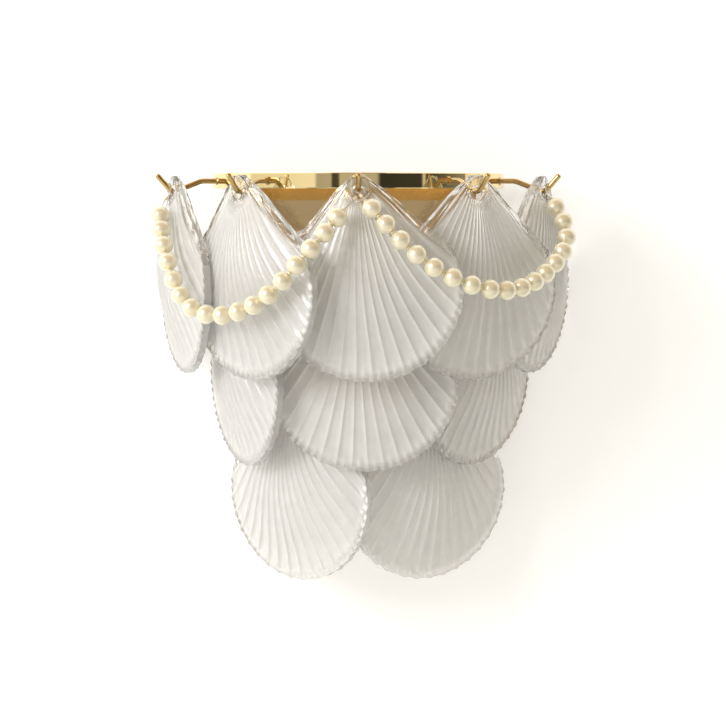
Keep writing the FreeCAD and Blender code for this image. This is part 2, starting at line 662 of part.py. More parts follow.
BULB_SIDES = 20
envelope = bulb_glass()
bushes = []
for side_name, side in SIDES:
    add_lamp(side_name, side)
    lamp_x = side * size("lamp_side")
    lamp_y = -size("plate_depth") - size("lamp_forward")
    bulb_foot = SHELF_HEIGHT + size("holder_tall") - size("cap_long")
    at = FreeCAD.Placement(Vector(lamp_x, lamp_y, bulb_foot), FreeCAD.Rotation())
    keep(solid(side_name + "_bulb", envelope, at), side_name + "_bulb")
    cap = primitive("Cylinder", side_name + "_bulb_cap_shape",
                    ("%d * lamp_side" % side, LAMP_Y,
                     "shelf_height + holder_tall - cap_long"),
                    Radius="cap_diameter / 2", Height="cap_long")
    keep(cap, side_name + "_bulb_cap")
    lead_z = SHELF_HEIGHT + size("lead_rise")
    lead_y = -(size("bracket_sheet") + size("plate_depth")) / 2
    holder_back = lamp_y + size("holder_diameter") / 2 - size("bush_lip")
    block_foot = size("block_height") - size("block_tall") / 2
    lead_points = [Vector(side * size("terminal_pitch"), lead_y, block_foot),
                   Vector(side * size("terminal_pitch"), lead_y, block_foot - 8),
                   Vector(lamp_x, lead_y, lead_z + 14),
                   Vector(lamp_x, lead_y, lead_z),
                   Vector(lamp_x, holder_back, lead_z)]
    lead = tube(bent_path(lead_points, [8, 8, size("lead_diameter")]), size("lead_diameter"))
    keep(solid(side_name + "_lamp_lead", lead), side_name + "_lamp_lead")
    sleeve = rod(side_name + "_bush_sleeve", "%d * lamp_side" % side,
                 "plate_sheet - plate_depth", "shelf_height + lead_rise",
                 "bush_flange / 2 - bush_lip - rod_play",
                 "plate_sheet + shelf_sheet + bush_lip")
    flange = rod(side_name + "_bush_flange", "%d * lamp_side" % side,
                 "-plate_depth - shelf_sheet", "shelf_height + lead_rise",
                 "bush_flange / 2", "bush_lip")
    bore = rod(side_name + "_bush_bore", "%d * lamp_side" % side, 0,
               "shelf_height + lead_rise", "lead_diameter / 2 + rod_play", "2 * plate_depth")
    bushes.append(without(side_name + "_bush",
                          joined(side_name + "_bush_form", [sleeve, flange]), [bore]))
keep(group("lead_bushes_group", bushes), "lead_bushes")

block = primitive("Box", "block_body",
                  ("-block_wide / 2", "plate_sheet - plate_depth",
                   "block_height - block_tall / 2"),
                  Length="block_wide", Width="block_deep", Height="block_tall")
wells, terminal_screws = [], []
for n in (-1, 0, 1):
    for row, tilt in enumerate((-1, 1)):
        x = "%d * terminal_pitch" % n
        z = "block_height + %d * block_tall / 4" % tilt
        wells.append(rod("terminal_well_%d_%d" % (n + 1, row), x,
                         "plate_sheet - plate_depth + block_deep", z, "terminal_bore / 2",
                         "block_deep / 2"))
        terminal_screws.append(rod("terminal_screw_%d_%d" % (n + 1, row), x,
                                   "plate_sheet - plate_depth + block_deep * 0.8", z,
                                   "terminal_bore / 2 - hole_play", "block_deep * 0.3"))
keep(without("terminal_block_shape", block, wells), "terminal_block")
keep(group("terminal_screws_group", terminal_screws), "terminal_screws")

earth_stud = rod("earth_stud_shape", "earth_side", "plate_sheet - plate_depth + block_deep",
                 "block_height", "stud_diameter / 2", "block_deep")
keep(earth_stud, "earth_stud")
earth_hex = hexagon("earth_hex", "earth_side", "plate_sheet - plate_depth + nut_thick",
                    "block_height", "nut_across", "nut_thick")
earth_bore = rod("earth_bore", "earth_side", 0, "block_height",
                 "stud_diameter / 2 + rod_play", "2 * plate_depth")
keep(without("earth_nut_shape", earth_hex, [earth_bore]), "earth_nut")

earth_y = size("plate_sheet") + size("nut_thick") + 1.5 - size("plate_depth")
block_head = size("block_height") + size("block_tall") / 2
stud_top = size("block_height") + size("stud_diameter") / 2
earth_points = [Vector(0, earth_y, block_head + size("hole_play")), Vector(1, earth_y, block_head + 9),
                Vector(14, earth_y, block_head + 13),
                Vector(size("earth_side") - 1, earth_y, block_head + 6),
                Vector(size("earth_side"), earth_y, stud_top)]
keep(solid("earth_lead_shape", tube(bent_path(earth_points, [5, 8, 6]),
                                    size("earth_lead_diameter"))), "earth_lead")

# ---------------------------------------------------------------- check and write
doc.recompute()
for item in doc.Objects:
    if "Invalid" in item.State or "Error" in item.State:
        raise RuntimeError("%s did not build" % item.Label)
os.makedirs("parts", exist_ok=True)
for item in pieces:
    shape = item.Shape
    if shape.isNull() or not shape.isValid() or not shape.Solids:
        raise RuntimeError("%s is not a valid solid" % item.Label)
for item in pieces:
    item.Shape.exportStep(os.path.join("parts", item.Label + ".step"))
print(len(pieces), "nodes; glass lean %.2f degrees" % lean)
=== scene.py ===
"""Looks of the shell wall sconce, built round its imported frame.

Metres throughout. X runs to the viewer's right, Y into the wall and Z up.
"""
import math

import bmesh
import bpy
from mathutils import Matrix, Vector


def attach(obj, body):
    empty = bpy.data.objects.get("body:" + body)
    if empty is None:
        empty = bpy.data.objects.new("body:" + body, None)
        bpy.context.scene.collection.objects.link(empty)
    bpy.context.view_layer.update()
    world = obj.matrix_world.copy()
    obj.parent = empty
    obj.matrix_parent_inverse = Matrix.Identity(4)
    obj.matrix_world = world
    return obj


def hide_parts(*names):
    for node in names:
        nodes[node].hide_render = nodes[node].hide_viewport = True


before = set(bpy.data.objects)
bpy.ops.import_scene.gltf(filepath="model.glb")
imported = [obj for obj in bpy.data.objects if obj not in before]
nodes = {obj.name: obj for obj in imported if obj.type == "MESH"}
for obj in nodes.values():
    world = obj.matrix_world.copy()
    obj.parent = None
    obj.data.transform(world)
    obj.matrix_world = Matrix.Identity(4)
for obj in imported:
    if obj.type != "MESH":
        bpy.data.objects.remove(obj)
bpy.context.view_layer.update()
scene = bpy.context.scene
MM = 0.001

# Sizes that the dressed pieces share with the solids
RING_Y = -0.024                  # the bands' common centre
# Each band's radius and the height of its middle
TIERS = {"top": (0.109, 0.0759), "middle": (0.071, 0.0089), "lower": (0.039, -0.0765)}
REACH, DROP = 0.032, 0.0075      # from a band to the V of its hooks, outwards and down
HOOKS = {"top": (-72, -36, 0, 36, 72), "middle": (-60, 0, 60), "lower": (-45, 45)}
GLASSES = {                      # the way each glass faces and its roll, in degrees
    "top": ((-72, 2), (-48, 4), (-9, 4.2), (28, 1), (64, 0)),
    "middle": ((-66, 2), (-5, 3), (51, 0)),
    "lower": ((-41, 3), (30, 3)),
}
GLASS_LEAN = 1.1                 # brings the weight of a glass under its hook
ROD = 0.004

# The camera as the photo has it: its frame and focal length in pixels, its turn in degrees
PHOTO_SIDE, FOCAL_PIXELS, FILM = 726, 2300, 36
CAMERA_AT = (0, RING_Y - 1.725, 0.065)
LOOKS_DOWN, LOOKS_RIGHT = 4.153, 0.117

# The window is on the left, and the sky is dimmer and warmer towards the right
KEY_AT, KEY_AIM = (-1.6, -1.5, 0.75), (0, -0.1, -0.02)
KEY_WATTS, KEY_WIDE, KEY_COLOUR = 24.5, 0.9, (1, 0.995, 0.985)
SKY_LEFT, SKY_RIGHT = (0.74, 0.735, 0.715), (0.51, 0.468, 0.38)
CEILING, CEILING_FROM, CEILING_FULL = (0.52, 0.34, 0.17), 0.15, 0.4
WALL_LIFT = 0.36                 # whitens the wall for camera, mirror and glass rays only
# What metal mirrors, round from the left wall to the right wall, in degrees and greys
ROOM = ((-90, 0.9), (-34, 1.0), (-32, 0.45), (-21, 0.5), (-20, 0.06), (-15, 0.08), (-14, 0.55),
        (14, 0.5), (17, 0.04), (50, 0.05), (52, 0.8), (54, 0.06), (70, 0.12), (90, 0.3))


def put(name, data):
    """Adds an object that holds some data to the scene."""
    made = bpy.data.objects.new(name, data)
    scene.collection.objects.link(made)
    return made


def make_camera():
    data = bpy.data.cameras.new("Camera")
    data.sensor_width = FILM
    data.lens = FILM * FOCAL_PIXELS / PHOTO_SIDE
    data.clip_start, data.clip_end = 0.05, 20
    camera = put("Camera", data)
    camera.location = CAMERA_AT
    camera.rotation_euler = (math.radians(90 - LOOKS_DOWN), 0, math.radians(-LOOKS_RIGHT))
    scene.camera = camera


# ------------------------------------------------------------------ materials
class Graph:
    """Adds nodes to a node tree. A value is a number, a colour or another node's output."""

    def __init__(self, tree):
        self.tree = tree

    def new(self, kind):
        return self.tree.nodes.new("ShaderNode" + kind)

    def feed(self, socket, value):
        if hasattr(value, "is_output"):
            self.tree.links.new(value, socket)
        elif socket.type == "RGBA" and len(value) == 3:
            socket.default_value = (*value, 1)
        else:
            socket.default_value = value

    def set(self, node, **values):
        for key, value in values.items():
            self.feed(node.inputs[key.replace("_", " ")], value)

    def noise(self, scale, detail=3, rough=0.5):
        made = self.new("TexNoise")
        self.set(made, Vector=self.new("TexCoord").outputs["Object"], Scale=scale,
                 Detail=detail, Roughness=rough)
        return made.outputs[0]

    def bump(self, height, strength, distance):
        made = self.new("Bump")
        self.set(made, Height=height, Strength=strength, Distance=distance)
        return made.outputs[0]

    def attribute(self, name):
        made = self.new("Attribute")
        made.attribute_name = name
        return made.outputs["Fac"]

    def ramp(self, value, stops):
        """A colour ramp; each stop is a place and a grey or a colour."""
        made = self.new("ValToRGB")
        self.feed(made.inputs[0], value)
        ramp = made.color_ramp
        while len(ramp.elements) < len(stops):
            ramp.elements.new(0.5)
        for element, (place, colour) in zip(ramp.elements, stops):
            element.position = place
            grey = isinstance(colour, (int, float))
            element.color = (colour, colour, colour, 1) if grey else (*colour, 1)
        return made.outputs[0]

    def maths(self, operation, a, b=0.0):
        made = self.new("Math")
        made.operation = operation
        self.feed(made.inputs[0], a)
        self.feed(made.inputs[1], b)
        return made.outputs[0]

    def mix(self, factor, a, b):
        made = self.new("Mix")
        made.data_type = "RGBA"
        colour_a, colour_b, colour_out = 6, 7, 2
        self.feed(made.inputs[0], factor)
        self.feed(made.inputs[colour_a], a)
        self.feed(made.inputs[colour_b], b)
        return made.outputs[colour_out]


class Shader(Graph):
    """A material built round its principled shader."""

    def __init__(self, name, **principled):
        self.material = bpy.data.materials.new(name)
        self.material.use_nodes = True
        super().__init__(self.material.node_tree)
        self.bsdf = self.tree.nodes["Principled BSDF"]
        self.set(self.bsdf, **principled)

    def blend(self, factor, a, b):
        """Makes the surface a mixture of two shaders."""
        made = self.new("MixShader")
        for socket, value in zip(made.inputs, (factor, a, b)):
            self.feed(socket, value)
        self.feed(self.tree.nodes["Material Output"].inputs["Surface"], made.outputs[0])


def metal(name, light, dark, rough, scale, bump=0.02, wear=0.35):
    """Gilt or plated metal: cloudy colour, uneven polish and fine scratches."""
    made = Shader(name, Metallic=1.0)
    cloud = made.noise(scale, detail=5, rough=0.6)
    fine = made.noise(scale * 14, rough=0.6)
    colour = made.mix(made.ramp(cloud, ((0.35, 0.0), (0.75, wear))), light, dark)
    gloss = made.ramp(fine, ((0.3, rough * 0.7), (0.75, rough * 1.5)))
    made.set(made.bsdf, Base_Color=colour, Roughness=gloss,
             Normal=made.bump(fine, bump, distance=0.0004))
    return made.material


def plastic(name, colour, rough):
    """Moulded plastic or rubber with a faint grain."""
    made = Shader(name, Roughness=rough)
    shade = tuple(c * 0.8 for c in colour)
    tone = made.mix(made.ramp(made.noise(40), ((0.3, 0.0), (0.8, 0.25))), colour, shade)
    grain = made.bump(made.noise(900, detail=2), strength=0.05, distance=0.0003)
    made.set(made.bsdf, Base_Color=tone, Normal=grain)
    return made.material


def pressed_glass():
    """Clear pressed glass with a frosted middle; the mesh says where it is frosted and how much
    painted highlight whitens each rib crest.
    """
    made = Shader("pressed_glass", Base_Color=(0.97, 0.965, 0.95), Transmission_Weight=1.0,
                  IOR=1.5)
    cloud = made.noise(55, detail=4, rough=0.6)
    seed = made.bump(made.noise(420, detail=2), strength=0.05, distance=0.0005)
    made.set(made.bsdf, Normal=seed, Roughness=made.ramp(cloud, ((0.3, 0.03), (0.8, 0.10))))
    milk = made.new("BsdfPrincipled")
    ground = made.mix(made.ramp(cloud, ((0.3, 0.0), (0.8, 0.6))), (0.93, 0.925, 0.91),
                      (0.89, 0.88, 0.86))
    # painted highlight and shade: rib crests are painted whiter than the greyer ground in the
    # valleys
    tone = made.mix(made.attribute("crest_highlight"), ground, (1.0, 1.0, 0.99))
    grain = made.bump(made.noise(1400, detail=2), strength=0.08, distance=0.0002)
    made.set(milk, Base_Color=tone, Roughness=0.28, Transmission_Weight=0.4, IOR=1.5,
             Coat_Weight=0.65, Coat_Roughness=0.07, Normal=grain)
    amount = made.maths("MULTIPLY",
                        made.ramp(made.attribute("frost"), ((0.0, 0.13), (1.0, 1.0))),
                        made.ramp(cloud, ((0.2, 0.88), (0.7, 1.0))))
    made.blend(amount, made.bsdf.outputs[0], milk.outputs[0])
    return made.material


def pearl():
    """Cream lacquered pearl, half metallic so that it mirrors the room softly."""
    made = Shader("pearl", Roughness=0.34, Coat_Weight=0.8, Coat_Roughness=0.12,
                  Metallic=0.5)
    body = made.mix(made.ramp(made.noise(90), ((0.3, 0.0), (0.75, 0.5))),
                    (0.96, 0.90, 0.70), (0.91, 0.82, 0.57))
    made.set(made.bsdf, Base_Color=body)
    return made.material


def bulb_glass():
    made = Shader("bulb_glass", Base_Color=(0.95, 0.94, 0.91), Roughness=0.35,
                  Transmission_Weight=0.45, IOR=1.45, Coat_Weight=0.4)
    grain = made.bump(made.noise(700, detail=2), strength=0.03, distance=0.0002)
    made.set(made.bsdf, Normal=grain)
    return made.material


POLISHED = metal("polished_gilt", (0.90, 0.73, 0.38), (0.80, 0.60, 0.27),
                 rough=0.05, scale=30, bump=0.004)
ANTIQUE = metal("antique_gilt", (0.70, 0.51, 0.23), (0.42, 0.28, 0.11),
                rough=0.13, scale=90, wear=0.7)
PLATE = metal("plate_gilt", (0.72, 0.53, 0.29), (0.60, 0.42, 0.20),
              rough=0.09, scale=12, bump=0.004, wear=0.6)
# painted reflection: the rail's gilt is coloured darker and more orange than the plate's,
# standing for the warm reflection on the polished rail
RAIL_PAINTED_REFLECTION = metal("rail_gilt_painted_reflection", (0.78, 0.43, 0.12), (0.58, 0.33, 0.10),
             rough=0.13, scale=22, bump=0.006, wear=0.8)
SILVER = metal("wire_silver", (0.78, 0.77, 0.74), (0.55, 0.54, 0.51), rough=0.16, scale=120)
BRIGHT = metal("bead_gilt", (0.93, 0.73, 0.34), (0.70, 0.48, 0.18), rough=0.14, scale=120)
STEEL = metal("zinc_steel", (0.70, 0.71, 0.72), (0.52, 0.53, 0.55),
              rough=0.32, scale=70, bump=0.05)
GLASS = pressed_glass()
PEARL = pearl()
BULB = bulb_glass()
BLACK = plastic("holder_black", (0.035, 0.034, 0.033), rough=0.38)
WHITE = plastic("block_white", (0.86, 0.86, 0.83), rough=0.45)
BROWN = plastic("bush_brown", (0.09, 0.065, 0.05), rough=0.55)
SHEATH = plastic("lead_clear", (0.72, 0.69, 0.62), rough=0.4)
GREEN = plastic("earth_green", (0.36, 0.52, 0.09), rough=0.45)

NODE_LOOKS = {
    "backplate": PLATE, "top_rail": RAIL_PAINTED_REFLECTION, "band_spacers": PLATE, "lead_bushes": BROWN,
    "left_lamp_bracket": PLATE, "right_lamp_bracket": PLATE, "wall_bracket": STEEL,
    "mounting_studs": STEEL, "nut_washers": BRIGHT, "frame_nuts": STEEL,
    "terminal_block": WHITE, "terminal_screws": STEEL, "earth_stud": STEEL,
    "earth_nut": STEEL, "earth_lead": GREEN, "left_lamp_lead": SHEATH,
    "right_lamp_lead": SHEATH,
}
SOFTENED = ("backplate", "top_rail", "left_lamp_bracket", "right_lamp_bracket",
            "wall_bracket")


def dress_nodes():
    """Gives the solids that stay in view their materials and softens their sheared edges."""
    for name, material in NODE_LOOKS.items():
        mesh = nodes[name].data
        mesh.materials.clear()
        mesh.materials.append(material)
    for name in SOFTENED:
        modifier = nodes[name].modifiers.new("softened_edges", "BEVEL")
        modifier.width = 0.0003
        modifier.segments = 2
        modifier.limit_method = "ANGLE"
        modifier.angle_limit = math.radians(60)


# ------------------------------------------------------------------ mesh helpers
ON_AXIS = 1e-7                   # a smaller radius closes a turned surface in one point
FORWARD = Matrix.Rotation(math.radians(90), 4, "X")  # turns Z towards the viewer


def mesh_of(name, bm):
    """Turns a bmesh into a mesh."""
    mesh = bpy.data.meshes.new(name)
    bm.to_mesh(mesh)
    bm.free()
    return mesh


def add(name, bm, material, body, slot, replaced, angle=35):
    """Turns a bmesh into a piece that rides on its body and stands for CAD nodes."""
    return place(name, mesh_of(name, bm), material, body, slot, replaced, angle)


def place(name, mesh, material, body, slot, replaced, angle):
    """Makes a mesh such a piece; edges sharper than the angle, in degrees, stay sharp."""
    mesh.materials.append(material)
    mesh.shade_smooth()
    mesh.set_sharp_from_angle(angle=math.radians(angle))
    piece = put(name, mesh)
    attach(piece, body)
    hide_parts(*replaced)
    return piece


def arc(count, full=2 * math.pi):
    """Evenly spaced angles, from 0 up to but not including the full turn."""
    return [full * k / count for k in range(count)]


def lathe(bm, profile, sides, matrix, close):
    """Adds a surface of revolution round Z; profile runs as (radius, height) points."""
    rings = []
    for radius, height in profile:
        if radius < ON_AXIS:
            rings.append([bm.verts.new(matrix @ Vector((0, 0, height)))])
            continue
        rings.append([bm.verts.new(matrix @ Vector((
            radius * math.cos(turn), radius * math.sin(turn), height)))
            for turn in arc(sides)])
    pairs = list(zip(rings, rings[1:]))
    if close:
        pairs.append((rings[-1], rings[0]))
    for low, high in pairs:
        for k in range(sides):
            corners = [ring[at if len(ring) > 1 else 0]
                       for ring, at in ((low, k - 1), (low, k), (high, k), (high, k - 1))]
            unique = [v for n, v in enumerate(corners) if v not in corners[:n]]
            if len(unique) > 2:
                bm.faces.new(unique)


def sweep(bm, points, section):
    """Adds a section along a path; section(n) gives point n's (sideways, up) outline."""
    rings, up = [], Vector((0, 0, 1))
    for n, point in enumerate(points):
        ahead = points[min(n + 1, len(points) - 1)] - points[max(n - 1, 0)]
        ahead.normalize()
        side = ahead.cross(up)
        side.normalize()
        rise = side.cross(ahead)
        rings.append([bm.verts.new(point + side * a + rise * b) for a, b in section(n)])
    for near, far in zip(rings, rings[1:]):
        for k in range(len(near)):
            bm.faces.new((near[k - 1], near[k], far[k], far[k - 1]))
    bm.faces.new(rings[0])
    bm.faces.new(list(reversed(rings[-1])))


def outward(azimuth, radius, height):
    """The point at an azimuth, in degrees from straight ahead, round the bands' centre."""
    angle = math.radians(azimuth)
    return Vector((radius * math.sin(angle), RING_Y - radius * math.cos(angle), height))


def turned_to(spot, ahead):
    """The placing at a spot whose Z axis runs ahead."""
    return Matrix.Translation(spot) @ ahead.to_track_quat("Z", "Y").to_matrix().to_4x4()


# ------------------------------------------------------------------ pearl strands
# Each row is the way round, the distance out of the top band and the drop below it
LEFT_ROUTE = [(-69.4, 42.7, 15.4), (-65.9, 47.7, 24.9), (-60.5, 52.4, 38.9), (-55.9, 55.2, 55.9),
              (-51.7, 55.5, 73.9), (-46.3, 56.9, 87.9), (-39.1, 55.9, 94.4), (-30.8, 56.9, 91.9),
              (-23.2, 61.2, 83.4), (-17.2, 64.8, 68.9), (-12.7, 65.8, 53.4), (-8.8, 60, 39.4),
              (-5.2, 50.7, 25.9), (-2.3, 43.6, 15.9)]
RIGHT_ROUTE = [(2, 45.1, 14.9), (5, 51.6, 24.9), (9.7, 56.9, 40.4), (15.5, 61.2, 55.9),
               (22.3, 65, 67.7), (29.5, 66.8, 74.4), (37, 65.6, 76.4), (44.6, 63.9, 71.9),
               (52.7, 62.6, 61.4), (59.8, 61.7, 48.4), (64, 57.8, 34.9), (66.3, 49.3, 23.4),
               (68.8, 41.7, 14.4)]
# The end rings: the azimuth of the hook that each one hangs on, and its centre in millimetres
STRANDS = (
    ("left", LEFT_ROUTE, ((-72, (-137.71, -68.75, 70.11)), (0, (0, -168.8, 70.11)))),
    ("right", RIGHT_ROUTE, ((0, (0, -170.7, 72.23)), (72, (137.71, -68.75, 70.11)))))
PEARLS, PITCH, PEARL_R, PEARL_HIGH = 17, 0.0148, 0.0069, 0.97
RING_BORE, RING_WIRE, WIRE = 0.0041, 0.0012, 0.0012
RING_R = RING_BORE + RING_WIRE / 2  # from a ring's centre to the middle of its wire
CRIMP_IN = 0.0042                # from each end of the wire to its crimp bead
# Profiles as (radius, height): the pearl's for a radius of one, the others in millimetres
PEARL_PROFILE = [(0.0008, -0.955), (0.16, -0.985)] + [
    (math.cos(a), math.sin(a)) for a in [math.radians(x) for x in range(-72, 73, 12)]] + [
    (0.16, 0.985), (0.0008, 0.955)]
SPACER_PROFILE = ((0.7, -0.6), (1.3, -0.65), (1.8, -0.3), (1.8, 0.3), (1.3, 0.65), (0.7, 0.6))
CRIMP_PROFILE = ((0.7, -1.4), (1.15, -1.3), (1.3, -0.5), (1.1, 0), (1.3, 0.5), (1.15, 1.3),
                 (0.7, 1.4))


def spline_points(curve):
    """The line of a curve as points, from the curve itself."""
    helper = curve.data.copy()
    helper.bevel_depth = 0
    bare = put("bare", helper)
    mesh = bpy.data.meshes.new_from_object(
        bare.evaluated_get(bpy.context.evaluated_depsgraph_get()))
    points = [v.co.copy() for v in mesh.vertices]
    bpy.data.objects.remove(bare)
    bpy.data.meshes.remove(mesh)
    bpy.data.curves.remove(helper)
    return points


def along(points, distance):
    """Place and direction at a distance along a line of points."""
    for a, b in zip(points, points[1:]):
        step = (b - a).length
        if distance <= step:
            return a.lerp(b, distance / step), (b - a).normalized()
        distance -= step
    return points[-1].copy(), (points[-1] - points[-2]).normalized()


def string_on(bm, points, distances, profile, across, tall, sides):
    """Threads the same bead on a line at each distance; its profile is scaled by two sizes."""
    sized = [(radius * across, height * tall) for radius, height in profile]
    for distance in distances:
        lathe(bm, sized, sides, turned_to(*along(points, distance)), close=True)


def strand_route(route, ends):
    """The points that a strand hangs through, from the foot of one ring to the other's."""
    radius, height = TIERS["top"]
    points = [outward(azimuth, radius + out * MM, height - drop * MM)
              for azimuth, out, drop in route]
    first, last = (Vector(centre) * MM - Vector((0, 0, RING_R)) for azimuth, centre in ends)
    return [first] + points + [last]


def make_line(name, route):
    """The strand's wire: a curve through its route, with thickness."""
    data = bpy.data.curves.new(name, "CURVE")
    data.dimensions = "3D"
    data.resolution_u = 12
    data.bevel_depth = WIRE / 2
    data.bevel_resolution = 3
    spline = data.splines.new("NURBS")
    spline.points.add(len(route) - 1)
    for point, spot in zip(spline.points, route):
        point.co = (*spot, 1)
    spline.order_u = 3
    spline.use_endpoint_u = True
    data.materials.append(SILVER)
    return put(name, data)


def ring_mesh(ends):
    """A strand's two end rings, each with the rod of its hook through it."""
    bm = bmesh.new()
    wire = RING_WIRE / 2
    profile = [(RING_R + wire * math.cos(a), wire * math.sin(a)) for a in arc(10)]
    for azimuth, centre in ends:
        axis = outward(azimuth, 1, 0) - outward(azimuth, 0, 0)
        lathe(bm, profile, sides=40, matrix=turned_to(Vector(centre) * MM, axis), close=True)
    return bm


def make_strand(name, route, ends):
    """Strings pearls, spacer beads and crimp beads on a wire between two rings."""
    route = strand_route(route, ends)
    line = make_line(name + "_strand_line", route)
    points = spline_points(line)
    length = sum((b - a).length for a, b in zip(points, points[1:]))
    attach(line, name + "_strand")
    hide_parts(name + "_strand_wire")
    margin = (length - (PEARLS - 1) * PITCH) / 2
    pearls, beads = bmesh.new(), bmesh.new()
    string_on(pearls, points, [margin + n * PITCH for n in range(PEARLS)],
              PEARL_PROFILE, PEARL_R, PEARL_R * PEARL_HIGH, sides=28)
    string_on(beads, points, [margin + (n - 0.5) * PITCH for n in range(PEARLS + 1)],
              SPACER_PROFILE, MM, MM, sides=14)
    string_on(beads, points, (CRIMP_IN, length - CRIMP_IN), CRIMP_PROFILE, MM, MM, sides=14)
    pearl_piece = add(name + "_pearl_row", pearls, PEARL, name + "_strand", "pearl",
                      [name + "_pearls"], angle=50)
    bead_piece = add(name + "_bead_row", beads, PEARL, name + "_strand", "pearl",
                     [name + "_spacer_beads"])
    ring_piece = add(name + "_hanging_rings", ring_mesh(ends), SILVER, name + "_strand",
                     "wire_gilt", [name + "_end_rings"])
    list(route[0])


# ------------------------------------------------------------------ glass scallops
FLARE = math.radians(46.5)       # half the angle between the two straight flares
# Heights are from the V of the hook: the apex is above it, and the rim falls below it
APEX, RADIUS, FALL = 0.015, 0.069, 0.1324
CENTRE = FALL - RADIUS + APEX    # from the apex to the middle of the rim's circle
CORNER_TRIM, CORNER_POWER = 0.1, 10
RIBS, RIB_SAMPLES, RIB_BOW = 20, 8, 0.5
RIB_TALL, RIB_SHARP, RIB_GROWTH = 0.0015, 1.9, 0.7
SHOULDER, SHOULDER_AT, SHOULDER_LONG = 0.06, 0.3, 0.16  # the flares swell near the apex
CROWN, CROWN_CURVE = 0.0145, 1.5
SET_BACK, SET_BACK_CURVE = 0.006, 0.6
SKIN_OUT, SKIN_IN = 0.0016, 0.0018  # from the crowned surface to the front and back faces
LOBE, LOBES_FROM = 0.0005, 0.85
EDGE_OUT, CRIMP_OUT, CRIMP_BACK = 0.0006, 0.0011, 0.0004
RIM_EDGE, FLARE_EDGE = (0.925, 0.965), (0.93, 0.97)
FLARE_CRIMPS = 23
RIPPLE, RIPPLES = 0.00012, 95
# Shares of the way from the apex to the rim, closer together where the edge turns
SHARES = (0.07, 0.11, 0.15, 0.2, 0.26, 0.32, 0.38, 0.44, 0.5, 0.56, 0.62, 0.68, 0.74,
          0.8, 0.85, 0.89, 0.92, 0.94, 0.955, 0.97, 0.985, 0.996, 1.0)
# Where frosting begins and is full, and how much of it the rim keeps
FROST_SHARES, FROST_OFF_FLARE = (0.165, 0.19), (0.0045, 0.0065)
FROST_RIM, RIM_FROST = (0.99, 0.95), 0.3
BOSS_R, BOSS_Z, BOSS_WALL, BOSS_ROUND = 0.009, 0.0023, 0.004, 0.0012
BORE_R, BORE_Z, BORE_MOUTH, BORE_LONG = 0.004, -0.00125, 0.0012, 0.012
TINY = 1e-5


def clamp(value, low, high):
    return max(low, min(high, value))


def smooth(low, high, value):
    share = clamp((value - low) / (high - low), 0, 1)
    return share * share * (3 - 2 * share)


def rim_reach(angle):
    """From the apex to the rim, at an angle from the middle line."""
    chord = math.sqrt(RADIUS ** 2 - (CENTRE * math.sin(angle)) ** 2)
    trim = CORNER_TRIM * abs(angle / FLARE) ** CORNER_POWER
    return (CENTRE * math.cos(angle) + chord) * (1 - trim)


def ridge_at(step):
    """How near a point is to the crest of a rib, from 0 to 1, across the scallop."""
    return (1 - abs(math.sin(math.pi * RIBS * (step + 1) / 2))) ** RIB_SHARP


def glass_point(share, step, outer):
    """A point of the scallop; share runs from the apex to the rim, step across it."""
    angle = FLARE * (step + RIB_BOW * (step ** 3 - step) * (1 - share))
    angle *= 1 + SHOULDER * math.exp(-((share - SHOULDER_AT) / SHOULDER_LONG) ** 2)
    rib_turn = math.pi * RIBS * (step + 1)
    lobe = LOBE * math.cos(rib_turn) * smooth(LOBES_FROM, 1, share)
    reach = share * (rim_reach(angle) + lobe)
    stand = CROWN * math.sin(math.pi * share) ** CROWN_CURVE * (1 - step ** 2)
    stand -= SET_BACK * share ** SET_BACK_CURVE
    edge = max(smooth(*RIM_EDGE, share), smooth(*FLARE_EDGE, abs(step)))
    crimp_turn = 2 * math.pi * FLARE_CRIMPS * share if abs(step) > share else 2 * rib_turn
    crimp = 0.5 + 0.5 * math.cos(crimp_turn)
    if outer:
        stand += SKIN_OUT + RIB_TALL * share ** RIB_GROWTH * ridge_at(step) * (1 - edge)
        stand += edge * (EDGE_OUT + CRIMP_OUT * crimp) + RIPPLE * math.sin(share * RIPPLES)
    else:
        stand -= SKIN_IN + edge * CRIMP_BACK * crimp
    return Vector((reach * math.sin(angle), -stand, APEX - reach * math.cos(angle)))


def seen_from_apex(point):
    """A point's angle from the middle line, its distance and its share of the way."""
    side, down = point.x, max(APEX - point.z, TINY)
    angle, distance = math.atan2(side, down), math.hypot(side, down)
    return angle, distance, distance / rim_reach(clamp(angle, -FLARE, FLARE))


def frost_at(point):
    """How frosted the glass is: clear at the apex, along the flares and partly on the rim."""
    angle, distance, share = seen_from_apex(point)
    inside = smooth(*FROST_OFF_FLARE, (FLARE - abs(angle)) * distance)
    rim = RIM_FROST + (1 - RIM_FROST) * smooth(*FROST_RIM, share)
    return smooth(*FROST_SHARES, share) * inside * rim


def painted_crest_highlight(point):
    """How much painted highlight a point of the front gets, by its nearness to a rib's crest;
    the back has no ribs and is all alike, at a middle amount.
    """
    if point.y >= 0:
        return 0.5
    angle, distance, share = seen_from_apex(point)
    turn = angle / FLARE
    step = turn
    for _ in range(12):
        step = turn - RIB_BOW * (step ** 3 - step) * (1 - min(share, 1))
    return ridge_at(clamp(step, -1, 1))


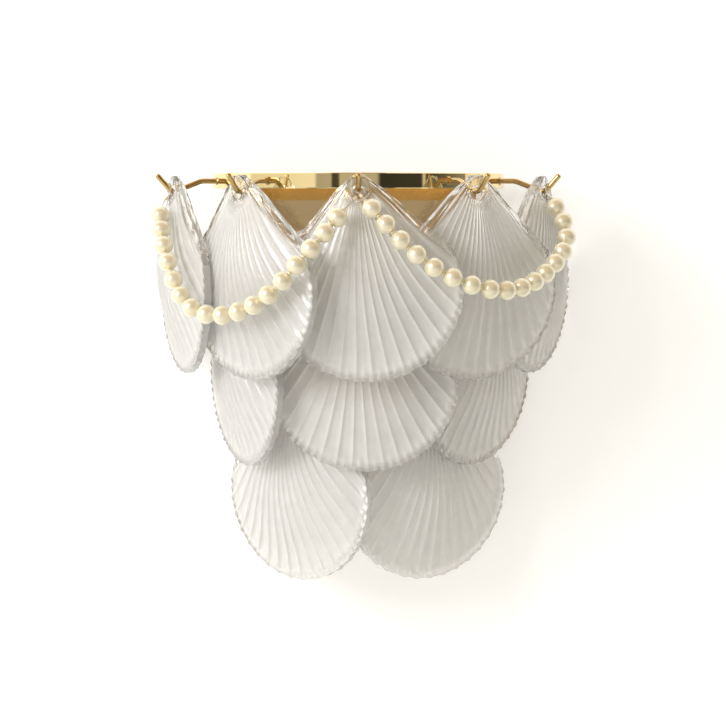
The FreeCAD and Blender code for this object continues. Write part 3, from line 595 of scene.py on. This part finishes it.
def scallop_skins():
    """The ribbed front, the plain back and the edges that join them."""
    last = RIBS * RIB_SAMPLES
    steps = [2 * n / last - 1 for n in range(last + 1)]
    bm = bmesh.new()
    front, back = [[[bm.verts.new(glass_point(share, step, outer)) for step in steps]
                    for share in SHARES] for outer in (True, False)]
    for skin, way in ((front, 1), (back, -1)):
        for near, far in zip(skin, skin[1:]):
            for k in range(last):
                bm.faces.new([near[k], near[k + 1], far[k + 1], far[k]][::way])
    for k in range(last):
        bm.faces.new((front[0][k + 1], front[0][k], back[0][k], back[0][k + 1]))
        bm.faces.new((front[-1][k], front[-1][k + 1], back[-1][k + 1], back[-1][k]))
    for n in range(len(SHARES) - 1):
        bm.faces.new((front[n][0], front[n + 1][0], back[n + 1][0], back[n][0]))
        bm.faces.new((front[n + 1][-1], front[n][-1], back[n][-1], back[n + 1][-1]))
    return bm


def boss_profile():
    """The round boss that the bore goes through, with rounded edges."""
    half, small = BOSS_WALL / 2, BOSS_ROUND
    corner = [(BOSS_R - small + small * math.cos(a), half - small + small * math.sin(a))
              for a in [math.radians(x) for x in range(0, 91, 18)]]
    return [(0, -half)] + [(r, -z) for r, z in reversed(corner)] + corner + [(0, half)]


def bore_profile():
    """The bore, wider at both mouths."""
    half, wide = BOSS_WALL / 2, BORE_R + BORE_MOUTH
    mouth = [(0, -BORE_LONG), (wide, -BORE_LONG), (wide, -half), (BORE_R, -half + BORE_MOUTH)]
    return mouth + [(r, -z) for r, z in reversed(mouth)]


def worked(body, operation, profile, sides, height):
    """The mesh of a body once a solid turned round Y is joined to it or cut out of it."""
    bm = bmesh.new()
    lathe(bm, profile, sides, Matrix.Translation((0, 0, height)) @ FORWARD, close=False)
    bmesh.ops.recalc_face_normals(bm, faces=bm.faces[:])
    tool = put("tool", mesh_of("tool", bm))
    modifier = body.modifiers.new("work", "BOOLEAN")
    modifier.operation = operation
    modifier.object = tool
    modifier.solver = "EXACT"
    bpy.context.view_layer.update()
    made = bpy.data.meshes.new_from_object(
        body.evaluated_get(bpy.context.evaluated_depsgraph_get()))
    body.modifiers.clear()
    bpy.data.objects.remove(tool)
    return made


def scallop_mesh():
    """The scallop that each glass is a copy of; its points know their frost and their painted
    crest highlight.
    """
    bm = scallop_skins()
    bmesh.ops.recalc_face_normals(bm, faces=bm.faces[:])
    body = put("scallop_maker", mesh_of("scallop", bm))
    body.data = worked(body, "UNION", boss_profile(), sides=48, height=BOSS_Z)
    body.data = worked(body, "DIFFERENCE", bore_profile(), sides=36, height=BORE_Z)
    made = body.data
    bpy.data.objects.remove(body)
    # the second attribute is the painted highlight along the rib crests
    for name, value_at in (("frost", frost_at), ("crest_highlight", painted_crest_highlight)):
        values = made.attributes.new(name, "FLOAT", "POINT")
        values.data.foreach_set("value", [value_at(v.co) for v in made.vertices])
    return made


def hang_glasses():
    """Hangs a copy of the one scallop in the V of every hook."""
    scallop = scallop_mesh()
    for tier, stances in GLASSES.items():
        radius, height = TIERS[tier]
        for number, (azimuth, stance) in enumerate(zip(HOOKS[tier], stances), start=1):
            facing, roll = stance
            mesh = scallop.copy()
            mesh.transform(
                Matrix.Translation(outward(azimuth, radius + REACH, height - DROP))
                @ Matrix.Rotation(math.radians(facing), 4, "Z")
                @ Matrix.Rotation(math.radians(-roll), 4, "Y")
                @ Matrix.Rotation(math.radians(GLASS_LEAN), 4, "X"))
            node = "%s_glass_%d" % (tier, number)
            place("%s_scallop_%d" % (tier, number), mesh, GLASS, node, "pressed_glass",
                  [node], angle=32)


# ------------------------------------------------------------------ bands and hooks
BAND_WALL, BAND_TALL, LIP, STRAP_WALL, STRAP_SHORT = 0.0015, 0.011, 0.0003, 0.002, 0.0004
ROUND = 0.0005                   # how far a band's corners are cut back
BAND_STEPS, STRAP_STEPS = 96, 12
HOOK_ROOT, SHOULDER_OUT = 0.0025, 0.0118  # the rod's end inside the band, its first bend
TIP_OUT, TIP_UP = 0.013, 0.012   # from the V's middle to the hook's free end
SHOULDER_BEND, V_BEND = 0.014, 0.005
TIP_SCALES, TIP_STEPS = (0.45, 0.78, 0.95, 1.0), (0.0015, 0.0008, 0.0003, 0)


def rounded_bar(thick, tall, lip):
    """A band's section: flat faces, cut corners and a small rolled lip at each edge."""
    half, high = thick / 2, tall / 2
    outer = [(half, high - 3.2 * ROUND), (half + lip, high - 2 * ROUND),
             (half + lip, high - ROUND), (half, high)]
    inner = [(-half + ROUND, high), (-half, high - ROUND)]
    return ([(a, -b) for a, b in reversed(inner)] + [(a, -b) for a, b in reversed(outer)]
            + outer + inner)


def make_band(tier):
    """The half ring and the straight strap that closes it at the back."""
    radius, height = TIERS[tier]
    bm = bmesh.new()
    section = rounded_bar(BAND_WALL, BAND_TALL, LIP)
    ring = [outward(90 - 180 * n / BAND_STEPS, radius - BAND_WALL / 2, height)
            for n in range(BAND_STEPS + 1)]
    sweep(bm, ring, lambda n: section)
    strap = rounded_bar(STRAP_WALL, BAND_TALL, 0)
    left, right = [Vector((side * (radius - STRAP_SHORT), RING_Y - STRAP_WALL / 2, height))
                   for side in (-1, 1)]
    sweep(bm, [left.lerp(right, n / STRAP_STEPS) for n in range(STRAP_STEPS + 1)],
          lambda n: strap)
    bmesh.ops.recalc_face_normals(bm, faces=bm.faces[:])
    add(tier + "_band_ring", bm, POLISHED, "frame", "polished_gilt", [tier + "_band"])


def bend(points, radii, steps=10):
    """Straight runs joined by arcs, as points."""
    made = [points[0]]
    for before, corner, after, radius in zip(points, points[1:], points[2:], radii):
        back, on = (before - corner).normalized(), (after - corner).normalized()
        half = (math.pi - back.angle(on)) / 2
        start, end = (corner + way * radius * math.tan(half) for way in (back, on))
        centre = corner + (back + on).normalized() * radius / math.cos(half)
        for n in range(steps + 1):
            spoke = (start - centre).slerp(end - centre, n / steps).normalized()
            made.append(centre + spoke * radius)
    return made + [points[-1]]


def hook_corner():
    """The V's corner, outwards and below the lowest point of its bend, found by nearing."""
    forward = below = 0
    for _ in range(30):
        run_in = math.atan2(DROP + below, REACH - SHOULDER_OUT + forward)
        run_out = math.atan2(TIP_UP + below, TIP_OUT - forward)
        reach = V_BEND / math.cos((run_in + run_out) / 2)
        tilt = (run_out - run_in) / 2
        forward, below = reach * math.sin(tilt), reach * math.cos(tilt) - V_BEND
    return forward, below


def make_hook(tier, number, azimuth):
    """A rod hook with a small soldered collar at its root and a rounded tip."""
    radius, height = TIERS[tier]
    forward, below = hook_corner()
    valley = height - DROP
    line = bend([outward(azimuth, r, z) for r, z in (
        (radius - HOOK_ROOT, height), (radius + SHOULDER_OUT, height),
        (radius + REACH + forward, valley - below),
        (radius + REACH + TIP_OUT, valley + TIP_UP))], (SHOULDER_BEND, V_BEND))
    tip = line.pop()
    ahead = (tip - line[-1]).normalized()
    line += [tip - ahead * back for back in TIP_STEPS]
    half = ROD / 2
    spots = [(half * math.cos(turn), half * math.sin(turn)) for turn in arc(20)]

    def section(n):
        left = len(line) - 1 - n
        scale = TIP_SCALES[left] if left < len(TIP_SCALES) else 1
        return [(a * scale, b * scale) for a, b in spots]

    bm = bmesh.new()
    sweep(bm, line, section)
    out = outward(azimuth, 1, 0) - outward(azimuth, 0, 0)
    collar = [(half * 0.98, 0), (half + 0.0011, 0.0001), (half + 0.0008, 0.0005),
              (half + 0.00035, 0.0009), (half * 0.98, 0.0012)]
    foot = outward(azimuth, radius - 0.0001, height)
    lathe(bm, collar, sides=24, matrix=turned_to(foot, out), close=True)
    bmesh.ops.recalc_face_normals(bm, faces=bm.faces[:])
    add("%s_arm_%d" % (tier, number), bm, ANTIQUE, "frame", "antique_gilt",
        ["%s_hook_%d" % (tier, number)])


# ------------------------------------------------------------------ lamps and fasteners
SHELF, LAMP_Y, LAMP_X = -0.061, -0.050, 0.036
HOLDER_R, BARREL_R, HOLDER_TALL, GRIPS = 0.0135, 0.0123, 0.048, 6
SOCKET_R, SOCKET_FLOOR, HOLDER_CHAMFER = 0.0076, 0.0225, 0.0008
CAP_IN, CAP_THREADS = 0.024, 5   # the part of a lamp that sits in its holder, and its threads
BULB_R, BULB_TALL, BULB_WALL = 0.0225, 0.078, 0.001
NECK = ((0.0072, 0.0262), (0.0089, 0.0300), (0.0118, 0.0346))
NECK_R, NECK_FROM, NECK_TO = 0.0066, 0.0241, 0.0378


def holder_profile():
    profile = [(0, 0), (HOLDER_R, 0), (HOLDER_R, 0.0018), (BARREL_R + 0.0004, 0.0026),
               (BARREL_R, 0.004)]
    for n in range(GRIPS):
        low = 0.006 + n * 0.0024
        profile += [(BARREL_R, low), (BARREL_R + 0.0005, low + 0.0006),
                    (BARREL_R + 0.0005, low + 0.0014), (BARREL_R, low + 0.002)]
    return profile + [
        (BARREL_R, 0.034), (HOLDER_R, 0.0352), (HOLDER_R, HOLDER_TALL - HOLDER_CHAMFER),
        (HOLDER_R - HOLDER_CHAMFER, HOLDER_TALL), (SOCKET_R, HOLDER_TALL),
        (SOCKET_R, SOCKET_FLOOR), (0, SOCKET_FLOOR)]


def cap_profile():
    profile = [(0, 0), (0.0032, 0), (0.0034, 0.0012), (0.0052, 0.0022), (0.0060, 0.0034)]
    for n in range(CAP_THREADS):
        low = 0.0042 + n * 0.0028
        profile += [(0.0061, low), (0.00675, low + 0.0009), (0.00675, low + 0.0014),
                    (0.0061, low + 0.0023)]
    return profile + [(0.0065, 0.0190), (0.0069, 0.0200), (0.0069, 0.0238), (0, 0.0238)]


def bulb_profile(wall):
    """The bulb's outer face, or its inner face where wall is its thickness."""
    radius, middle = BULB_R - wall, BULB_TALL - BULB_R
    neck = [(0, NECK_FROM + wall), (NECK_R - wall, NECK_FROM + wall)]
    neck += [(r - wall, z) for r, z in NECK]
    low = math.asin((NECK_TO - middle) / radius)
    turns = [low + (math.pi / 2 - low) * n / 20 for n in range(20)]
    ball = [(radius * math.cos(a), middle + radius * math.sin(a)) for a in turns]
    return neck + ball + [(0, middle + radius)]


def make_lamp(side_name, side):
    """A lamp holder, with the cap and the hollow glass of a bulb standing in it."""
    foot = Matrix.Translation((side * LAMP_X, LAMP_Y, SHELF))
    base = foot @ Matrix.Translation((0, 0, HOLDER_TALL - CAP_IN))
    holder, cap, bulb = bmesh.new(), bmesh.new(), bmesh.new()
    lathe(holder, holder_profile(), sides=48, matrix=foot, close=False)
    lathe(cap, cap_profile(), sides=40, matrix=base, close=False)
    for wall in (0, BULB_WALL):
        lathe(bulb, bulb_profile(wall), sides=48, matrix=base, close=False)
    add(side_name + "_holder_body", holder, BLACK, "frame", "holder_black",
        [side_name + "_lampholder"])
    add(side_name + "_bulb_screw_cap", cap, BRIGHT, "frame", "cap_brass",
        [side_name + "_bulb_cap"])
    add(side_name + "_bulb_glass", bulb, BULB, "frame", "bulb_glass", [side_name + "_bulb"],
        angle=60)


# Each row is a screw's distance to either side, its height and its head's seat off the wall
SCREW_ROWS = ((0.060, 0.0759, 0.026), (0.052, 0.0089, 0.026), (0.022, -0.0765, 0.026),
              (0.036, -0.039, 0.024))
SCREW_END, SHANK_R, TIP_LONG = 0.0155, 0.0015, 0.0003
HEAD_PROFILE = [(0.0028, 0), (0.0028, 0.0006), (0.0024, 0.0012), (0.0016, 0.0017),
                (0.0008, 0.0018), (0, 0.0018)]
SLOT_SIZE, SLOT_OUT, SLOT_FIRST, SLOT_TURN = (0.0046, 0.0008, 0.0006), 0.00145, 0.6, 0.9
STUD_HEIGHTS, NUT_SEAT = (0.030, -0.040), 0.023
NUT_ACROSS, NUT_TALL, DOME_R = 0.007, 0.0032, 0.0032


def make_screws():
    """Round heads on plain shanks; a thin bar at its own angle marks the slot of each."""
    bm = bmesh.new()
    places = [(side * x, z, seat) for x, z, seat in SCREW_ROWS for side in (-1, 1)]
    for n, (x, z, seat) in enumerate(places):
        shank = [(0, SCREW_END - seat), (SHANK_R - 0.0002, SCREW_END - seat),
                 (SHANK_R, SCREW_END + TIP_LONG - seat), (SHANK_R, 0)]
        turn = Matrix.Translation((x, -seat, z)) @ FORWARD
        lathe(bm, shank + HEAD_PROFILE, sides=28, matrix=turn, close=False)
        slot = (Matrix.Translation((x, -seat - SLOT_OUT, z))
                @ Matrix.Rotation(SLOT_FIRST + n * SLOT_TURN, 4, "Y")
                @ Matrix.Diagonal((*SLOT_SIZE, 1)))
        bmesh.ops.create_cube(bm, size=1, matrix=slot)
    add("slotted_screws", bm, BRIGHT, "frame", "bead_gilt", ["frame_screws"])


def make_cap_nuts():
    """Hexagon nuts closed by a dome."""
    bm = bmesh.new()
    corner, flat = NUT_ACROSS / 2 / math.cos(math.radians(30)), NUT_ACROSS / 2
    hexagon = [(0, 0), (corner - 0.0004, 0), (corner, 0.0004), (corner, NUT_TALL - 0.0003),
               (flat - 0.0001, NUT_TALL), (0, NUT_TALL)]
    foot = NUT_TALL - 0.0002
    dome = [(0, foot), (DOME_R, foot)] + [
        (DOME_R * math.cos(a), NUT_TALL + DOME_R * math.sin(a)) for a in arc(8, math.pi / 2)]
    dome.append((0, NUT_TALL + DOME_R))
    for z in STUD_HEIGHTS:
        turn = Matrix.Translation((0, -NUT_SEAT, z)) @ FORWARD
        lathe(bm, hexagon, sides=6, matrix=turn, close=False)
        lathe(bm, dome, sides=28, matrix=turn, close=False)
    add("domed_nuts", bm, BRIGHT, "frame", "bead_gilt", ["cap_nuts"], angle=25)


# ------------------------------------------------------------------ wall, floor and light
WALL_Y, FLOOR_Z = 0.0006, -0.6
STAGE_SIDE, STAGE_FRONT, STAGE_BACK, STAGE_TOP = 4, -5, 3, 3


def wall_paint():
    """White paint that keeps the object's shadow and is seen from its front only."""
    paint = Shader("wall_paint", Roughness=0.85)
    tone = paint.mix(paint.ramp(paint.noise(3, detail=2), ((0.3, 0.0), (0.8, 0.5))),
                     (0.93, 0.925, 0.915), (0.91, 0.905, 0.89))
    rays = paint.new("LightPath")
    seen = paint.maths("MAXIMUM", rays.outputs["Is Camera Ray"], paint.maths(
        "MAXIMUM", rays.outputs["Is Glossy Ray"], rays.outputs["Is Transmission Ray"]))
    grain = paint.bump(paint.noise(220), strength=0.05, distance=0.0006)
    paint.set(paint.bsdf, Base_Color=tone, Normal=grain, Emission_Color=(1.0, 0.985, 0.96),
              Emission_Strength=paint.maths("MULTIPLY", seen, WALL_LIFT))
    paint.blend(paint.new("NewGeometry").outputs["Backfacing"], paint.bsdf.outputs[0],
                paint.new("BsdfTransparent").outputs[0])
    return paint.material


def floor_paint():
    paint = Shader("floor_paint", Roughness=0.7, Base_Color=(0.88, 0.875, 0.86))
    paint.set(paint.bsdf,
              Normal=paint.bump(paint.noise(160), strength=0.04, distance=0.0006))
    return paint.material


def make_sheet(name, corners, material):
    bm = bmesh.new()
    bm.faces.new([bm.verts.new(corner) for corner in corners])
    mesh = mesh_of(name, bm)
    mesh.materials.append(material)
    sheet = put(name, mesh)


def make_stage():
    sides = (-STAGE_SIDE, STAGE_SIDE)
    make_sheet("wall", [(x, WALL_Y, FLOOR_Z) for x in sides]
               + [(x, WALL_Y, STAGE_TOP) for x in reversed(sides)], wall_paint())
    make_sheet("floor", [(x, STAGE_FRONT, FLOOR_Z) for x in sides]
               + [(x, STAGE_BACK, FLOOR_Z) for x in reversed(sides)], floor_paint())


def make_key():
    """The window's light, from the left and above."""
    data = bpy.data.lights.new("key", "AREA")
    data.energy = KEY_WATTS
    data.size = KEY_WIDE
    data.color = KEY_COLOUR
    lamp = put("key", data)
    lamp.location = KEY_AT
    direction = Vector(KEY_AIM) - Vector(KEY_AT)
    lamp.rotation_euler = direction.to_track_quat("-Z", "Y").to_euler()


def make_world():
    """A soft sky for the light, and a plain room of window and doorways for reflections."""
    world = bpy.data.worlds.new("World")
    scene.world = world
    world.use_nodes = True
    graph = Graph(world.node_tree)
    axes = graph.new("SeparateXYZ")
    graph.feed(axes.inputs[0], graph.new("TexCoord").outputs["Generated"])
    right, back, up = axes.outputs
    azimuth = graph.maths("ARCTAN2", right, graph.maths("MULTIPLY", back, -1.0))
    share = graph.maths("ADD", graph.maths("DIVIDE", azimuth, math.pi), 0.5)
    room = graph.ramp(share, [(azimuth / 180 + 0.5, (grey, grey * 0.97, grey * 0.92))
                              for azimuth, grey in ROOM])
    high = graph.new("MapRange")
    graph.set(high, Value=up, From_Min=CEILING_FROM, From_Max=CEILING_FULL)
    reflected = graph.mix(high.outputs[0], room, CEILING)
    side = graph.maths("MULTIPLY", graph.maths("ADD", right, 1.0), 0.5)
    sky = graph.mix(side, SKY_LEFT, SKY_RIGHT)
    mirrored = graph.new("LightPath").outputs["Is Glossy Ray"]
    graph.feed(graph.tree.nodes["Background"].inputs["Color"],
               graph.mix(mirrored, sky, reflected))


make_camera()
dress_nodes()
for strand in STRANDS:
    make_strand(*strand)
hang_glasses()
for tier, azimuths in HOOKS.items():
    make_band(tier)
    for number, azimuth in enumerate(azimuths, start=1):
        make_hook(tier, number, azimuth)
for side_name, side in (("left", -1), ("right", 1)):
    make_lamp(side_name, side)
make_screws()
make_cap_nuts()
make_stage()
make_world()
make_key()
scene.view_settings.view_transform = "Standard"
